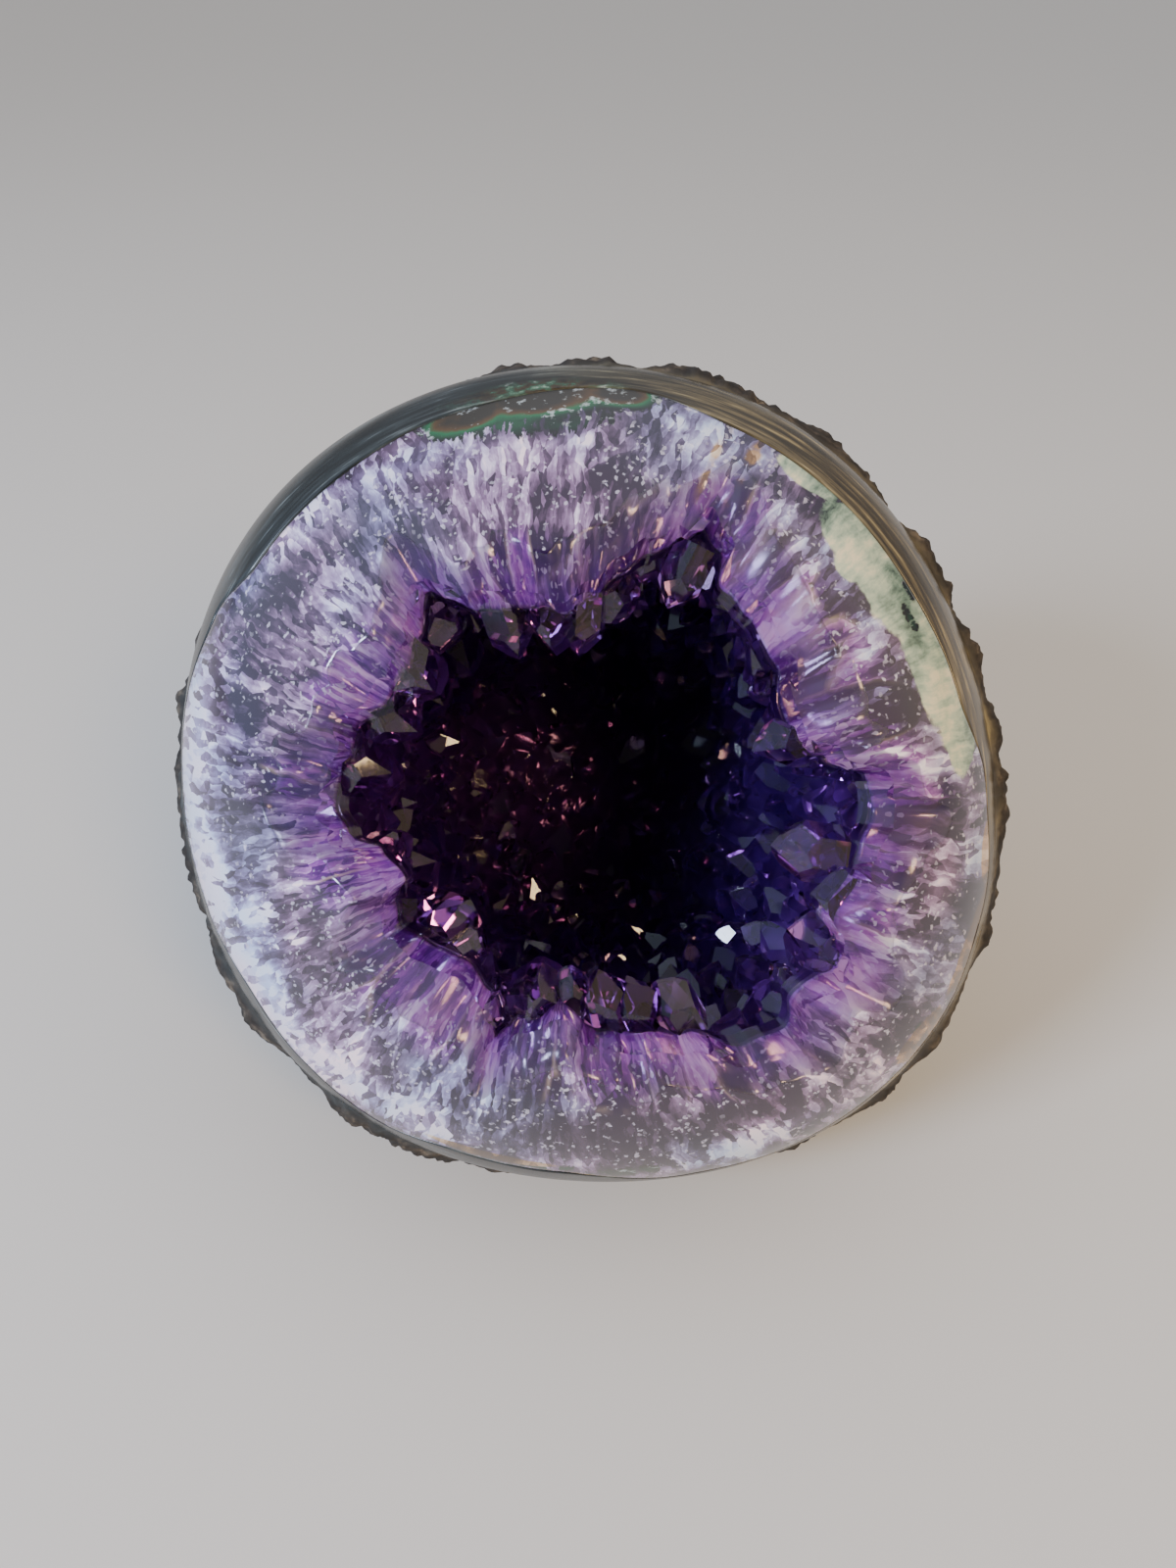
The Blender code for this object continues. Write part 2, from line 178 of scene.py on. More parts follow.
def smoothstep(x):
    """0 below 0, 1 above 1 and a smooth turn between them."""
    x = min(1.0, max(0.0, x))
    return x * x * (3 - 2 * x)


def around(points, clock):
    """The value at a clock angle in radians of a closed curve given by (degrees, value) points."""
    angle = math.degrees(clock) % 360
    if angle < points[0][0]:
        angle += 360
    for (start, first), (end, second) in zip(points, points[1:] + ((points[0][0] + 360, points[0][1]),)):
        if start <= angle <= end:
            return first + (second - first) * smoothstep((angle - start) / (end - start))
    return points[0][1]


def direction(angle, clock):
    """The unit vector at an angle from the axis w and a clock angle, in the face's frame."""
    return Vector((math.sin(angle) * math.cos(clock), math.sin(angle) * math.sin(clock), math.cos(angle)))


FOOT = direction(*map(math.radians, FOOT_WAY))


def placed(point):
    """A point of the face's frame in the world."""
    return CENTRE + FACE_FRAME @ point


def equator(clock):
    """The nodule's radius at its widest, which isn't quite round."""
    waves = (share * math.sin(lobes * clock + math.radians(phase)) for lobes, share, phase in RADIUS_WAVES)
    return MEAN_RADIUS * (1 + sum(waves))


def form(angle, clock):
    """The smooth nodule: a half ellipsoid in front, a fuller one behind, and a swelling where it stands."""
    front = math.cos(angle) > 0
    depth, power = (DOME_DEPTH, 2.0) if front else (BACK_DEPTH, BACK_FULLNESS)
    across = (math.sin(angle) / equator(clock)) ** power
    along = (abs(math.cos(angle)) / depth) ** power
    swell = FOOT_SWELL * smoothstep(1 - direction(angle, clock).angle(FOOT) / math.radians(FOOT_SPREAD))
    return (across + along) ** (-1 / power) + swell


def angle_at_radius(radius, clock):
    """The angle from the axis of the dome's point at that distance from the axis."""
    return math.atan2(radius, DOME_DEPTH * math.sqrt(1 - (radius / equator(clock)) ** 2))


def quartz_angle(clock):
    """Where the quartz ends on the dome and the rind begins."""
    return angle_at_radius(around(QUARTZ_EDGE, clock), clock)


def round_noise(clock, seed):
    """A noise on the way round that ends as it begins."""
    return noise.noise(Vector((math.cos(clock), math.sin(clock), seed)) * ROUND_WAVES)


def polish_angle(clock):
    """Where the polished band ends, with the small steps that the rough skin leaves in it."""
    height = around(POLISH_EDGE, clock) + POLISH_STEPS * round_noise(clock, 3.1)
    radius = equator(clock) * math.sqrt(1 - (height / DOME_DEPTH) ** 2)
    return math.atan2(radius, height)


def lip_radius(clock):
    """How far from the axis the dome is above the lip of the cloudy quartz, as the camera sees it."""
    radius = around(MOUTH, clock) + LIP_WIDTH
    far = form(angle_at_radius(radius, clock), clock)
    return radius * far / (far - WEDGE_DEPTH)


def lip_angle(clock):
    """Where the cloudy quartz ends, deep below the dome."""
    return angle_at_radius(lip_radius(clock), clock)


def rim_angle(clock):
    """The mouth's edge on the dome, with the bulbs in which the clear crystals end."""
    radius = lip_radius(clock) - EDGE_WIDTH
    near = noise.voronoi(Vector((math.cos(clock), math.sin(clock), 0.2)) * radius / BULB_SIZE)[0][0]
    return angle_at_radius(radius + BULB_HEIGHT * (2.2 * min(0.8, near) ** 2 - 0.5), clock)


def column(clock, seed):
    """A value from -1 to 1 for each column of quartz, with a quick turn from one column to the next."""
    count = round(2 * math.pi * COLUMN_RADIUS / COLUMN_SIZE)
    here = clock / (2 * math.pi) * count + 0.6 * round_noise(clock, seed)
    first = math.floor(here)
    share = smoothstep((here - first - 0.25) / 0.5)
    values = [noise.cell(Vector((index % count + 0.5, seed + 0.5, 0.5))) for index in (first, first + 1)]
    return values[0] + (values[1] - values[0]) * share


def clear_angle(clock):
    """Where the cloudy quartz reaches the dome and the clear violet quartz begins, column by column."""
    radius = lip_radius(clock) + CLEAR_WIDTH + CLEAR_RAGGED * column(clock, 1)
    return angle_at_radius(min(radius, around(QUARTZ_EDGE, clock) - CLOUDY_LEAST), clock)


def wedge(angle, clock):
    """How deep below the dome the clear quartz goes: to another depth for each column."""
    outer, inner = clear_angle(clock), lip_angle(clock)
    share = min(1.0, max(0.0, (outer - angle) / (outer - inner)))
    return WEDGE_DEPTH * share ** (1.25 + 0.6 * column(clock, 2))


def rind_depth(angle, clock):
    """How far below the nodule's form the rind meets the quartz."""
    share = (angle - quartz_angle(clock)) / math.radians(RIND_WEDGE)
    return RIND_THICKNESS * (1 - (1 - min(1.0, max(0.0, share))) ** 2)


def knob(place, size):
    """A field of round knobs, from 0 between them to 1 on top."""
    near = noise.voronoi(place / size)[0][0]
    return max(0.0, 1 - 1.6 * near * near)


def skin_relief(way):
    """The rough skin's height over the nodule's form, in one direction. Its knobs stand in clusters."""
    place = way * MEAN_RADIUS
    crowd = smoothstep(0.5 + 1.6 * noise.noise(place / CLUSTER_SIZE))
    height = LUMP_HEIGHT * knob(place, LUMP_SIZE)
    wandered = place + noise.noise_vector(place / WANDER_SIZE) * KNOB_WANDER
    height += KNOB_HEIGHT * crowd * knob(wandered, KNOB_SIZE)
    height += SWELL_HEIGHT * noise.noise(place / SWELL_SIZE)
    height += GRIT_HEIGHT * noise.noise(place / GRIT_SIZE)
    return height - SKIN_DROP


def hollow_radius(angle, clock):
    """The wall of the hollow, which widens behind the lip."""
    lip = lip_angle(clock)
    rim = form(lip, clock) - WEDGE_DEPTH
    wide = HOLLOW_RADIUS + 0.5 * sum(around(MOUTH, clock + turn) for turn in (-0.5, -0.25, 0, 0.25, 0.5)) / 5
    deep = 1 / math.hypot(math.sin(angle) / wide, math.cos(angle) / HOLLOW_DEPTH)
    behind = smoothstep((angle - lip) / math.radians(HOLLOW_SHOULDER))
    mounds = MOUND_HEIGHT * noise.noise(direction(angle, clock) * WALL_RADIUS / MOUND_SIZE)
    return rim + (deep - rim) * behind + mounds * behind


def back(_clock):
    """The angle of the nodule's back, at any clock angle."""
    return math.pi


def front(_clock):
    """The angle of the dome's middle, at any clock angle."""
    return 0.0


def ring(start, end, share, radius, count):
    """A ring of (point, angle, clock angle), a share of the way between two angles."""
    found = []
    for step in range(count):
        clock = 2 * math.pi * step / count
        angle = start(clock) + (end(clock) - start(clock)) * share
        found.append((placed(direction(angle, clock) * radius(angle, clock)), angle, clock))
    return found


def shares(rows, first=0):
    """Even steps up to 1, from the step numbered first."""
    return [step / rows for step in range(first, rows + 1)]


def bridge(faces, row, following):
    """Fills between two rings of point numbers. One may have a whole number of times the other's points."""
    few, many = sorted((row, following), key=len)
    times = len(many) // len(few)
    for step, corner in enumerate(few):
        fan = [many[(step * times + turn) % len(many)] for turn in range(times + 1)]
        if times == 1:
            faces.append((corner, fan[0], fan[1], few[(step + 1) % len(few)]))
            continue
        for one, other in zip(fan, fan[1:]):
            faces.append((corner, one, other))
        if len(few) > 1:
            faces.append((corner, fan[-1], few[(step + 1) % len(few)]))


def no_look(_angle, _clock):
    """For points that give the materials nothing."""
    return {}


def closed_piece(name, sections):
    """One closed mesh object through rings, the first and last of which are one point each.

    Each section is a list of rings with a function that gives its points' values for the materials.
    """
    points, faces, rows, given = [], [], [], {}
    for rings, look in sections:
        for row in rings:
            rows.append(range(len(points), len(points) + len(row)))
            for point, angle, clock in row:
                points.append(point)
                for key, value in look(angle, clock).items():
                    given.setdefault(key, []).extend(value)
    for row, following in zip(rows, rows[1:]):
        bridge(faces, row, following)
    mesh = bpy.data.meshes.new(name)
    mesh.from_pydata(points, [], faces)
    for key, values in given.items():
        mesh.attributes.new(key, "FLOAT_VECTOR", "POINT").data.foreach_set("vector", values)
    body = bmesh.new()
    body.from_mesh(mesh)
    body.normal_update()
    bmesh.ops.recalc_face_normals(body, faces=body.faces)
    body.to_mesh(mesh)
    body.free()
    mesh.polygons.foreach_set("use_smooth", [True] * len(mesh.polygons))
    piece = bpy.data.objects.new(name, mesh)
    bpy.context.scene.collection.objects.link(piece)
    return piece


def pole(radius, angle):
    """A ring of one point, at the front or the back."""
    return [(placed(direction(angle, 0) * radius(angle, 0)), angle, 0)]


def patch(clock, radius, at_clock, at_radius, long, wide):
    """How much of a stain is at a place on the dome, from 1 in its middle to 0.

    Places are a clock angle in degrees and a distance from the axis. long and wide are half lengths.
    """
    along = math.radians((clock - at_clock + 180) % 360 - 180) * radius / long
    across = (radius - at_radius) / wide
    return smoothstep(1.3 - math.hypot(along, across))


# Stains and clouds in the quartz: clock angle, distance from the axis, half length, half width and strength
STAINS = {
    "green": (
        (56, 0.042, 0.0045, 0.0018, 0.9), (47, 0.0402, 0.005, 0.003, 1.0),
        (37, 0.0398, 0.0065, 0.0036, 1.0), (24, 0.0406, 0.0075, 0.0036, 1.0),
        (13, 0.0418, 0.005, 0.0026, 1.0), (43, 0.0375, 0.002, 0.002, 0.7),
    ),
    "dark": (
        (108, 0.0422, 0.006, 0.003, 1.0), (97, 0.0428, 0.008, 0.0036, 1.1),
        (86, 0.0432, 0.0045, 0.0024, 1.0), (97, 0.0394, 0.0095, 0.0024, 0.44),
        (31, 0.04, 0.0022, 0.0007, 0.5), (35, 0.0418, 0.0016, 0.0008, 0.48),
        (268, 0.0416, 0.006, 0.0011, 0.42), (281, 0.0424, 0.007, 0.0014, 0.44),
        (329, 0.0452, 0.0012, 0.0005, 0.5),
    ),
    "amber": (
        (356, 0.0464, 0.005, 0.0018, 0.9), (343, 0.0474, 0.009, 0.002, 0.9),
        (328, 0.047, 0.005, 0.0022, 0.9), (259, 0.0412, 0.008, 0.0009, 0.8),
        (30, 0.0434, 0.016, 0.0011, 0.9), (65, 0.0385, 0.0012, 0.006, 0.36),
        (70, 0.0375, 0.0008, 0.005, 0.33),
    ),
    "violet": (
        (3, 0.0355, 0.003, 0.0055, 1.0), (352, 0.0335, 0.003, 0.003, 0.7), (342, 0.034, 0.0035, 0.004, 1.0),
        (332, 0.0355, 0.0045, 0.004, 0.9), (176, 0.0285, 0.003, 0.0045, 1.0), (45, 0.033, 0.01, 0.005, 1.0),
        (25, 0.0335, 0.01, 0.006, 1.0), (275, 0.029, 0.012, 0.005, 1.0), (235, 0.028, 0.009, 0.006, 1.0),
        (200, 0.0265, 0.005, 0.006, 1.0), (100, 0.026, 0.007, 0.003, 0.7), (62, 0.035, 0.007, 0.003, 0.7),
        (12, 0.035, 0.006, 0.005, 0.8), (150, 0.0265, 0.006, 0.003, 0.6), (300, 0.033, 0.006, 0.004, 0.6),
    ),
    # The first five white clouds, along the left edge, are partly painted light, where the cool light falls
    "white": (
        (176, 0.044, 0.011, 0.005, 1.5), (196, 0.043, 0.008, 0.005, 1.6), (214, 0.041, 0.008, 0.0045, 1.5),
        (232, 0.0405, 0.007, 0.0045, 1.3), (247, 0.0385, 0.005, 0.0045, 1.2),
        (202, 0.036, 0.0016, 0.004, 1.2), (209, 0.033, 0.0009, 0.004, 1.0), (231, 0.036, 0.002, 0.004, 0.8),
        (257, 0.032, 0.0008, 0.006, 0.8), (77, 0.0405, 0.0012, 0.0012, 0.9), (90, 0.037, 0.001, 0.001, 0.8),
        (70, 0.0385, 0.0045, 0.004, 0.6), (14, 0.027, 0.001, 0.003, 1.4), (12, 0.032, 0.0008, 0.004, 1.4),
        (9, 0.039, 0.0009, 0.005, 1.4), (42, 0.029, 0.0016, 0.003, 0.8), (20, 0.028, 0.0018, 0.003, 0.8),
        (120, 0.04, 0.006, 0.003, 0.6), (136, 0.0415, 0.005, 0.0026, 0.6), (162, 0.035, 0.0014, 0.008, 0.6),
        (300, 0.042, 0.008, 0.003, 0.6), (315, 0.04, 0.0016, 0.007, 0.7), (100, 0.035, 0.008, 0.003, 0.4),
    ),
    "smoke": (
        (148, 0.0365, 0.005, 0.005, 0.5), (130, 0.036, 0.004, 0.0045, 0.6),
        (163, 0.033, 0.004, 0.0045, 0.4), (188, 0.034, 0.004, 0.005, 0.7), (217, 0.033, 0.003, 0.005, 0.6),
        (240, 0.033, 0.004, 0.005, 0.7), (272, 0.035, 0.01, 0.006, 1.0), (290, 0.037, 0.009, 0.005, 1.0),
        (330, 0.042, 0.007, 0.004, 1.0), (318, 0.04, 0.005, 0.006, 1.0), (345, 0.042, 0.004, 0.003, 0.5),
        (80, 0.035, 0.004, 0.005, 0.5), (15, 0.037, 0.007, 0.003, 0.6), (258, 0.037, 0.006, 0.004, 0.8),
    ),
}
# The patch of brown and green crystals on the polished band, in the same words
MOSS_PATCH = (98, 0.0442, 0.0095, 0.0011)


def stain(kind, clock, radius):
    """How strong a kind of stain is at a place on the dome, from 0 to 1."""
    return max(strength * patch(clock, radius, *place) for *place, strength in STAINS[kind])


def quartz_look(angle, clock, below=0.0):
    """The quartz's looks: how it grew, how far from the mouth a place is, how far below, and its stains.

    below is 0 on the dome, up to 1 under the clear wedge, and 2 in the hollow.
    """
    radius = form(angle, clock) * math.sin(angle)
    degrees = math.degrees(clock)
    return {
        "growth": (GRAIN_RADIUS * math.cos(clock), GRAIN_RADIUS * math.sin(clock), radius),
        "across": (radius - around(MOUTH, clock), below, 0),
        "minerals": tuple(stain(kind, degrees, radius) for kind in ("green", "dark", "amber")),
        "clouds": tuple(stain(kind, degrees, radius) for kind in ("violet", "white", "smoke")),
    }


def hollow_look(angle, clock):
    """The looks of the quartz in the hollow and behind the rind: how far down the hollow a place is."""
    down = min(1.0, (angle - lip_angle(clock)) / math.radians(100))
    return {"growth": (0, 0, 0), "across": (down, 2, 0), "minerals": (0, 0, 0), "clouds": (0, 0, 0)}


def make_quartz():
    """The quartz: a dome from the rind's edge in, a ramp under the clear wedge, and the hollow's wall."""
    def outer(angle, clock):
        return form(angle, clock) - rind_depth(angle, clock) - QUARTZ_GAP

    def ramp(angle, clock):
        return form(angle, clock) - wedge(angle, clock)

    def under(angle, clock):
        return quartz_look(angle, clock, 0.1 + 0.9 * wedge(angle, clock) / WEDGE_DEPTH)

    wall = [ring(lip_angle, back, 0.004, hollow_radius, FACE_AROUND)]
    wall += [ring(lip_angle, back, share, hollow_radius, 120) for share in shares(16, 1)[:-1]]
    return closed_piece("polished_quartz", (
        ([pole(outer, math.pi)], hollow_look),
        ([ring(back, quartz_angle, share, outer, 120) for share in shares(8, 1)[:-1]], hollow_look),
        ([ring(quartz_angle, clear_angle, share, form, FACE_AROUND) for share in shares(44)], quartz_look),
        ([ring(clear_angle, lip_angle, share, ramp, FACE_AROUND) for share in shares(14, 1)], under),
        (wall + [pole(hollow_radius, math.pi)], hollow_look),
    ))


def rind_look(angle, clock):
    """The rind's looks: how the polish ran, then 1 where it is polished, how green, and how golden."""
    radius = form(angle, clock) * math.sin(angle)
    degrees = math.degrees(clock)
    green = patch(degrees, radius, *MOSS_PATCH)
    # How golden: the band's own olive, with warm light painted on the right side, where that light falls
    gold_and_warm_light = smoothstep((math.cos(clock - math.radians(GOLD_AND_WARM_LIGHT_WAY)) + 0.15) / 0.7)
    return {
        "growth": (GRAIN_RADIUS * math.cos(clock), GRAIN_RADIUS * math.sin(clock), radius + 0.03 * angle),
        "finish": (1.0 if angle < polish_angle(clock) + math.radians(0.4) else 0.0, green, gold_and_warm_light),
    }


def make_rind():
    """The basalt: a polished band behind the quartz, then the knobbly skin, cut flat where it stands."""
    def skin(angle, clock):
        rough = smoothstep((angle - polish_angle(clock)) / math.radians(SKIN_START))
        return form(angle, clock) + rough * skin_relief(direction(angle, clock))

    def inner(angle, clock):
        return form(angle, clock) - rind_depth(angle, clock)

    def count(share):
        return AROUND // (1 if share < 0.6 else 2 if share < 0.8 else 4 if share < 0.92 else 16)

    rings = [pole(inner, math.pi)]
    rings += [ring(back, quartz_angle, share, inner, 160) for share in shares(8, 1)[:-1]]
    rings += [ring(quartz_angle, polish_angle, share, form, AROUND) for share in shares(14)]
    rings += [ring(polish_angle, back, share, skin, count(share)) for share in shares(130, 1)[:-1]]
    rings += [pole(skin, math.pi)]
    piece = closed_piece("basalt_skin", ((rings, rind_look),))
    for vertex in piece.data.vertices:
        vertex.co.z = max(vertex.co.z, 0.0)
    return piece


def make_space():
    """The hollow's open space as a closed solid, up to the crust's base, and well past the dome."""
    def wall(angle, clock):
        return hollow_radius(angle, clock) - CRUST_BASE

    def cap(angle, clock):
        return form(angle, clock) + SPACE_OVER

    rings = [pole(cap, 0.0)]
    rings += [ring(front, rim_angle, share, cap, count) for share, count in ((0.5, 60), (1.0, FACE_AROUND))]
    rings += [ring(rim_angle, back, share, wall, 120 if share else FACE_AROUND) for share in shares(24)[:-1]]
    rings += [pole(wall, math.pi)]
    return closed_piece("open_space", ((rings, no_look),))


def make_crust_form():
    """All that the crust and the open space take up: out to the quartz, and flush with the dome."""
    def ramp(angle, clock):
        return form(angle, clock) - wedge(angle, clock) - CRUST_SINK

    def wall(angle, clock):
        return hollow_radius(angle, clock) + CRUST_SINK

    coarse, fine = (0.15, 0.3, 0.42), (0.5, 0.58, 0.66, 0.74, 0.82, 0.9, 1.0)
    rings = [pole(form, 0.0)]
    rings += [ring(front, clear_angle, share, form, 160) for share in coarse]
    rings += [ring(front, clear_angle, share, form, FACE_AROUND) for share in fine]
    rings += [ring(clear_angle, lip_angle, share, ramp, FACE_AROUND) for share in shares(4)]
    rings += [ring(lip_angle, back, share, wall, 120) for share in shares(16, 1)[:-1]]
    rings += [pole(wall, math.pi)]
    return closed_piece("amethyst_points", ((rings, no_look),))


def add_crystal(crystals, root, axis, width, shaft, draw):
    """One six-sided quartz point standing on root along axis: its shaft, cut by the six faces of its tip."""
    slope = math.radians(TIP_SLOPE)
    tip = width / 2 * math.tan(slope)
    length = shaft + TIP_ROOM * tip
    corner = width / 2 / math.cos(math.pi / 6)
    crystal = bmesh.new()
    bmesh.ops.create_cone(crystal, cap_ends=True, segments=6, radius1=corner, radius2=corner, depth=length)
    bmesh.ops.translate(crystal, verts=crystal.verts, vec=(0, 0, length / 2))
    for face in range(6):
        turn = math.radians(30 + 60 * face)
        outwards = Vector((
            math.cos(turn) * math.sin(slope), math.sin(turn) * math.sin(slope), math.cos(slope)
        ))
        apex = shaft + tip * (1 + (face % 2) * draw.uniform(*TIP_UNEVENNESS))
        made = bmesh.ops.bisect_plane(
            crystal, geom=crystal.verts[:] + crystal.edges[:] + crystal.faces[:], dist=1e-7,
            plane_co=(0, 0, apex), plane_no=outwards, clear_outer=True,
        )
        cut_line = [item for item in made["geom_cut"] if isinstance(item, bmesh.types.BMEdge)]
        if cut_line:
            bmesh.ops.contextual_create(crystal, geom=cut_line)
    spin = Matrix.Rotation(draw.uniform(0, math.pi / 3), 4, "Z")
    stand = axis.to_track_quat("Z", "Y").to_matrix().to_4x4()
    crystal.transform(Matrix.Translation(root) @ stand @ spin)
    crystal.normal_update()
    bmesh.ops.recalc_face_normals(crystal, faces=crystal.faces)
    loose = bpy.data.meshes.new("crystal")
    crystal.to_mesh(loose)
    crystal.free()
    crystals.from_mesh(loose)
    bpy.data.meshes.remove(loose)


def wall_frame(angle, clock):
    """A point of the hollow's wall in the world, with the wall's normal into the hollow."""
    def point(more_angle, more_clock):
        at, turn = angle + more_angle, clock + more_clock
        return placed(direction(at, turn) * (hollow_radius(at, turn) - CRUST_BASE / 2))

    along = point(NORMAL_STEP, 0) - point(-NORMAL_STEP, 0)
    across = point(0, NORMAL_STEP) - point(0, -NORMAL_STEP)
    normal = along.cross(across).normalized()
    here = point(0, 0)
    return here, normal if normal.dot(CENTRE - here) > 0 else -normal


# Large points that stand free below the edge: clock angle, distance from the axis, depth, width and tilt
FREE_POINTS = (
    (203, 0.019, 0.0016, 0.007, 0.1), (214, 0.02, 0.004, 0.005, 0.45), (234, 0.0215, 0.0006, 0.007, 1.1),
    (246, 0.022, 0.001, 0.0056, 1.3), (226, 0.0165, 0.006, 0.0056, 0.6), (264, 0.0172, 0.0042, 0.006, 0.35),
    (273, 0.0182, 0.0044, 0.0046, 0.45), (284, 0.019, 0.0044, 0.0048, 0.4),
    (292, 0.021, 0.004, 0.0044, 0.5), (300, 0.0228, 0.0048, 0.005, 0.45),
    (344, 0.0268, 0.0016, 0.006, 0.35), (334, 0.0278, 0.0034, 0.005, 0.5), (352, 0.025, 0.006, 0.0054, 0.3),
    (96, 0.018, 0.0052, 0.0052, 0.0), (88, 0.0186, 0.0066, 0.0044, -0.2),
    (110, 0.0188, 0.006, 0.0044, -0.1), (66, 0.0268, 0.0062, 0.0044, -0.1),
    (140, 0.019, 0.0046, 0.0054, 0.0), (155, 0.019, 0.005, 0.0056, 0.1), (172, 0.0205, 0.006, 0.0064, 0.2),
    (20, 0.0225, 0.005, 0.0052, 0.1),
)


def make_crystals():
    """The amethyst points: a row along the edge, large ones, a row at the lip, and the rest on the wall."""
    draw = random.Random(SEED)
    crystals = bmesh.new()
    outwards = FACE_FRAME @ Vector((0, 0, 1))

    def in_row(step, count):
        return 2 * math.pi * (step + draw.uniform(-ROW_SPREAD, ROW_SPREAD)) / count

    def grow(angle, clock, width, shaft, into=0.0):
        root, normal = wall_frame(angle, clock)
        lean = Vector([draw.gauss(0, math.radians(CRYSTAL_LEAN) / 2) for _ in range(3)])
        add_crystal(crystals, root, (normal + lean - into * outwards).normalized(), width, shaft, draw)

    # Along the mouth's edge, pointing to the middle and cut flush with the dome
    for step in range(EDGE_CRYSTALS):
        clock = in_row(step, EDGE_CRYSTALS)
        angle = rim_angle(clock) + math.radians(EDGE_BEHIND)
        inwards = FACE_FRAME @ Vector((-math.cos(clock), -math.sin(clock), draw.uniform(*EDGE_TILTS)))
        lean = Vector([draw.gauss(0, EDGE_LEAN) for _ in range(3)])
        root = placed(direction(angle, clock) * (form(angle, clock) - draw.uniform(*EDGE_DEPTHS)))
        width = draw.uniform(*EDGE_WIDTHS)
        axis = (inwards + lean).normalized()
        add_crystal(crystals, root - inwards * EDGE_BURIED, axis, width, EDGE_SHAFT, draw)
    for clock, radius, depth, width, tilt in FREE_POINTS:
        clock = math.radians(clock)
        angle = angle_at_radius(radius, clock)
        axis = FACE_FRAME @ Vector((-math.cos(clock), -math.sin(clock), tilt)).normalized()
        tip = placed(direction(angle, clock) * (form(angle, clock) - depth))
        add_crystal(crystals, tip - axis * (FREE_SHAFT + TIP_SHARE * width), axis, width, FREE_SHAFT, draw)
    for step in range(LIP_CRYSTALS):
        clock = in_row(step, LIP_CRYSTALS)
        behind = lip_angle(clock) + math.radians(draw.uniform(*LIP_BEHIND))
        grow(behind, clock, draw.uniform(*LIP_WIDTHS), draw.uniform(*LIP_SHAFTS), LIP_INTO)
    # Evenly over the wall, by the golden angle, with small ones between them
    for step in range(WALL_CRYSTALS):
        angle = math.acos(1 - 2 * (step + 0.5) / WALL_CRYSTALS) + draw.uniform(-WALL_SPREAD, WALL_SPREAD)
        clock = math.radians(GOLDEN_TURN * step) + draw.uniform(-WALL_SPREAD, WALL_SPREAD)
        width = draw.triangular(*WALL_WIDTHS)
        if angle > lip_angle(clock) + WALL_START:
            grow(angle, clock, width, draw.uniform(*WALL_SHAFTS))
    for step in range(SMALL_CRYSTALS):
        angle = math.acos(1 - 2 * (step + 0.2) / SMALL_CRYSTALS) + draw.uniform(-SMALL_SPREAD, SMALL_SPREAD)
        clock = math.radians(GOLDEN_TURN * step + 60) + draw.uniform(-SMALL_SPREAD, SMALL_SPREAD)
        if angle > lip_angle(clock) + SMALL_START:
            grow(angle, clock, draw.uniform(*SMALL_WIDTHS), draw.uniform(*SMALL_SHAFTS))
    mesh = bpy.data.meshes.new("crystal_points")
    crystals.to_mesh(mesh)
    crystals.free()
    points = bpy.data.objects.new("crystal_points", mesh)
    bpy.context.scene.collection.objects.link(points)
    return points


def apply_cut(piece, cutter, overlapping=False):
    """Takes the cutter's shape out of a piece for good, and drops the cutter."""
    modifier = piece.modifiers.new("cut", "BOOLEAN")
    modifier.operation = "DIFFERENCE"
    modifier.object = cutter
    modifier.solver = "EXACT"
    modifier.use_self = overlapping
    bpy.context.view_layer.update()
    graph = bpy.context.evaluated_depsgraph_get()
    mesh = bpy.data.meshes.new_from_object(piece.evaluated_get(graph))
    piece.modifiers.clear()
    piece.data = mesh
    bpy.data.objects.remove(cutter)


def keep_largest(piece):
    """Keeps only the largest body of a mesh."""
    made = bmesh.new()
    made.from_mesh(piece.data)
    left = set(made.verts)
    bodies = []
    while left:
        body, edge = set(), [left.pop()]
        while edge:
            vertex = edge.pop()
            body.add(vertex)
            near = {side.other_vert(vertex) for side in vertex.link_edges} & left
            left -= near
            edge += near
        bodies.append(body)
    largest = max(bodies, key=len)
    bmesh.ops.delete(made, geom=[vertex for vertex in made.verts if vertex not in largest], context="VERTS")
    made.to_mesh(piece.data)
    made.free()


def make_crust():
    """The crust: its form less the open space that the crystals leave. Closed pockets stay solid."""
    space = make_space()
    apply_cut(space, make_crystals(), overlapping=True)
    keep_largest(space)
    crust = make_crust_form()
    apply_cut(crust, space)
    crust.data.polygons.foreach_set("use_smooth", [True] * len(crust.data.polygons))
    crust.data.set_sharp_from_angle(angle=math.radians(SHARP_EDGE))
    return crust


def linear(hexes):
    """An sRGB hex colour as linear red, green, blue and alpha."""
    parts = [int(hexes[start:start + 2], 16) / 255 for start in (1, 3, 5)]
    return (*(part / 12.92 if part <= 0.04045 else ((part + 0.055) / 1.055) ** 2.4 for part in parts), 1.0)


def add(tree, kind, settings=(), inputs=(), stops=(), give=0):
    """Adds a node with its settings, its inputs' values or links, and a ramp's (place, colour) stops.

    It returns the output that give numbers or names, or all of them where give is None.
    """
    made = tree.nodes.new("ShaderNode" + kind)
    for name, value in dict(settings).items():
        setattr(made, name, value)
    for name, value in dict(inputs).items():
        if isinstance(value, bpy.types.NodeSocket):
            tree.links.new(value, made.inputs[name])
        else:
            made.inputs[name].default_value = value
    for place, colour in stops[2:]:
        made.color_ramp.elements.new(place)
    for element, (place, colour) in zip(made.color_ramp.elements if stops else (), stops):
        element.position = place
        element.color = linear(colour) if isinstance(colour, str) else (colour, colour, colour, 1.0)
    return made.outputs if give is None else made.outputs[give]


def scale_of(millimetres):
    """A pattern's scale from the real size of its grain."""
    return 1000 / millimetres


